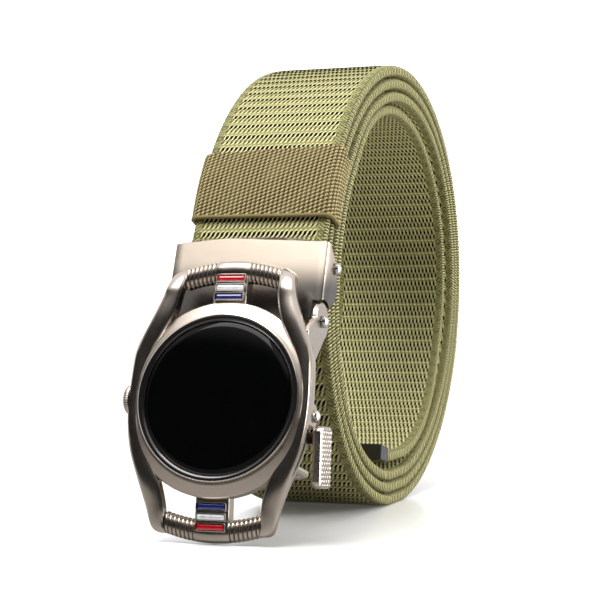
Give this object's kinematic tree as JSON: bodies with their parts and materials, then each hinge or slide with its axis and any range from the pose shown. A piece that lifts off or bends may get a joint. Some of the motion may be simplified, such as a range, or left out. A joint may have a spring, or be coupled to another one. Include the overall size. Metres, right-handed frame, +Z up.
{
  "type": "ratchet belt",
  "caption": "Rolled webbing ratchet belt with an elastic keeper, a hinged strap clamp and a watch-shaped automatic buckle with a release lever.",
  "frame": {"origin": "on the floor under the middle of the belt's box, as it stands rolled up on its edge", "axes": "+X across the strap, along the roll's axis; the buckle faces -Y; +Z up"},
  "size_m": [0.0487, 0.1734, 0.1224],
  "materials": {
    "webbing": "coarse woven nylon",
    "elastic": "fine twill knit",
    "dark_metal": "dark polished",
    "satin_metal": "satin gunmetal plating",
    "chrome": "polished",
    "black_ring": "black gloss",
    "black_glass": "opaque black glass, polished",
    "red_enamel": "glossy enamel",
    "white_enamel": "glossy enamel",
    "blue_enamel": "glossy enamel"
  },
  "bodies": {
    "belt": {"strap": "webbing", "keeper": "elastic", "strap_tip": "dark_metal", "clamp_cover": "satin_metal", "clamp_jaw": "chrome", "hinge_pin": "chrome"},
    "buckle": {"buckle_frame": "satin_metal", "watch_case": "satin_metal", "watch_bezel": "black_ring", "watch_glass": "black_glass", "top_stripe_1": "red_enamel", "top_stripe_2": "white_enamel", "top_stripe_3": "blue_enamel", "foot_stripe_1": "blue_enamel", "foot_stripe_2": "white_enamel", "foot_stripe_3": "red_enamel", "crown": "satin_metal", "strap_guide": "satin_metal", "lever_pin": "chrome"},
    "lever": {"release_lever": "satin_metal"}
  },
  "joints": [
    {"name": "clamp_hinge", "type": "hinge", "parent": "belt", "child": "buckle", "pos_m": [0.00025, -0.06324, 0.0506], "axis": [-1, 0, 0], "range_deg": [-20, 18]},
    {"name": "lever_turn", "type": "hinge", "parent": "buckle", "child": "lever", "pos_m": [0.0205, -0.07547, 0.02908], "axis": [1, 0, 0], "range_deg": [0, 10], "stiffness_Nm_per_rad": 0.05, "springref_deg": -11.46}
  ]
}
